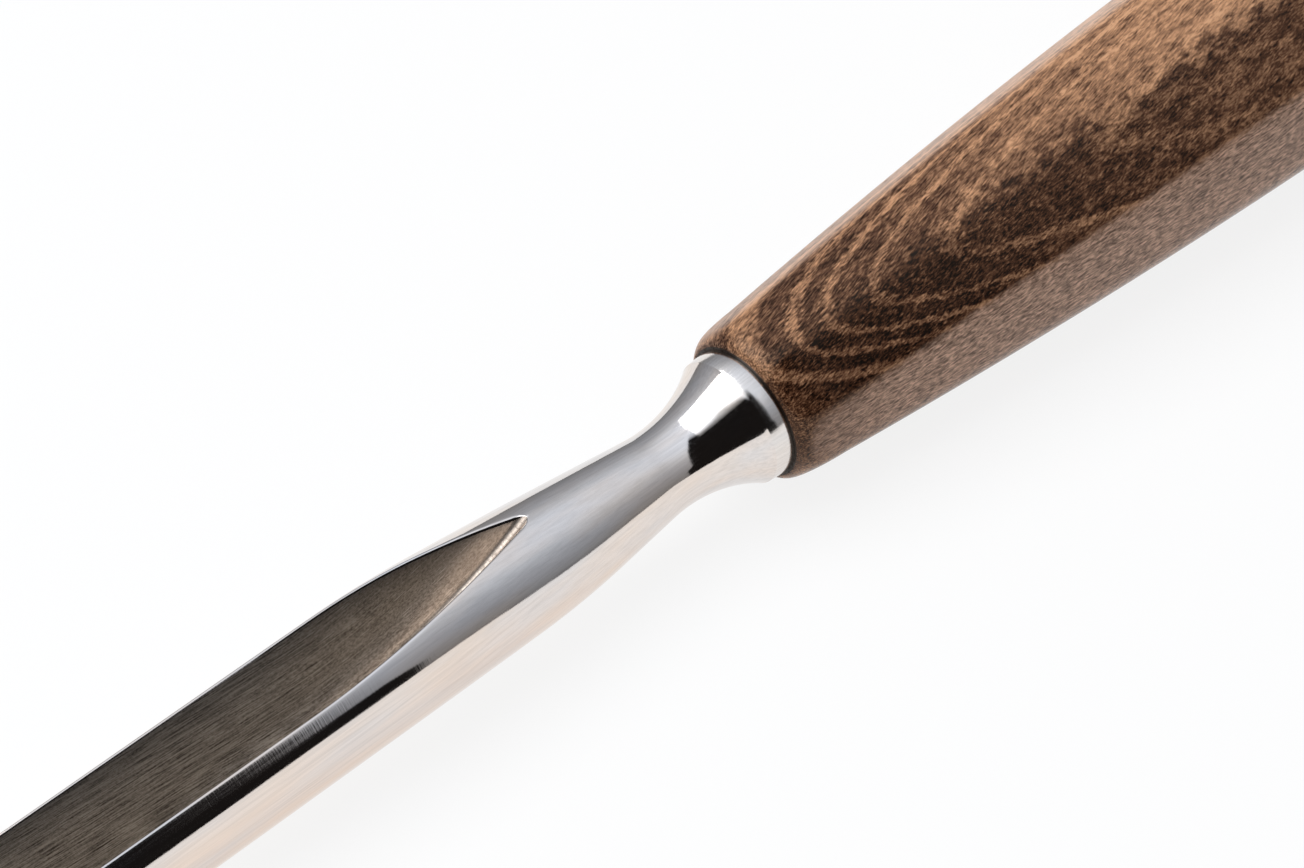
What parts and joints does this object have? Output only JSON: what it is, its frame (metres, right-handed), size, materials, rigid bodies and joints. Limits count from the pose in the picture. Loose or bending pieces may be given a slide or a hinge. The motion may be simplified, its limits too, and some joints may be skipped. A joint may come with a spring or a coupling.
{
  "type": "carving v-tool",
  "caption": "Wood-carving V-tool: polished forged blade with a milled V channel, round shank and bolster, driven by its tang into a barrelled octagonal hardwood handle.",
  "frame": {"origin": "on the tool's axis, in the plane where the bolster seats on the handle's mouth", "axes": "+X along the blade towards the cutting edge, +Z out of the mouth of the V, +Y across the blade"},
  "size_m": [0.254, 0.029, 0.029],
  "materials": {
    "tool_steel": "ground and polished outside, milled inside the V",
    "sleeve_steel": "turned",
    "handle_wood": "stained dark brown and waxed"
  },
  "bodies": {
    "root": {"blade": "tool_steel", "inner_sleeve": "sleeve_steel", "handle": "handle_wood"}
  },
  "joints": []
}
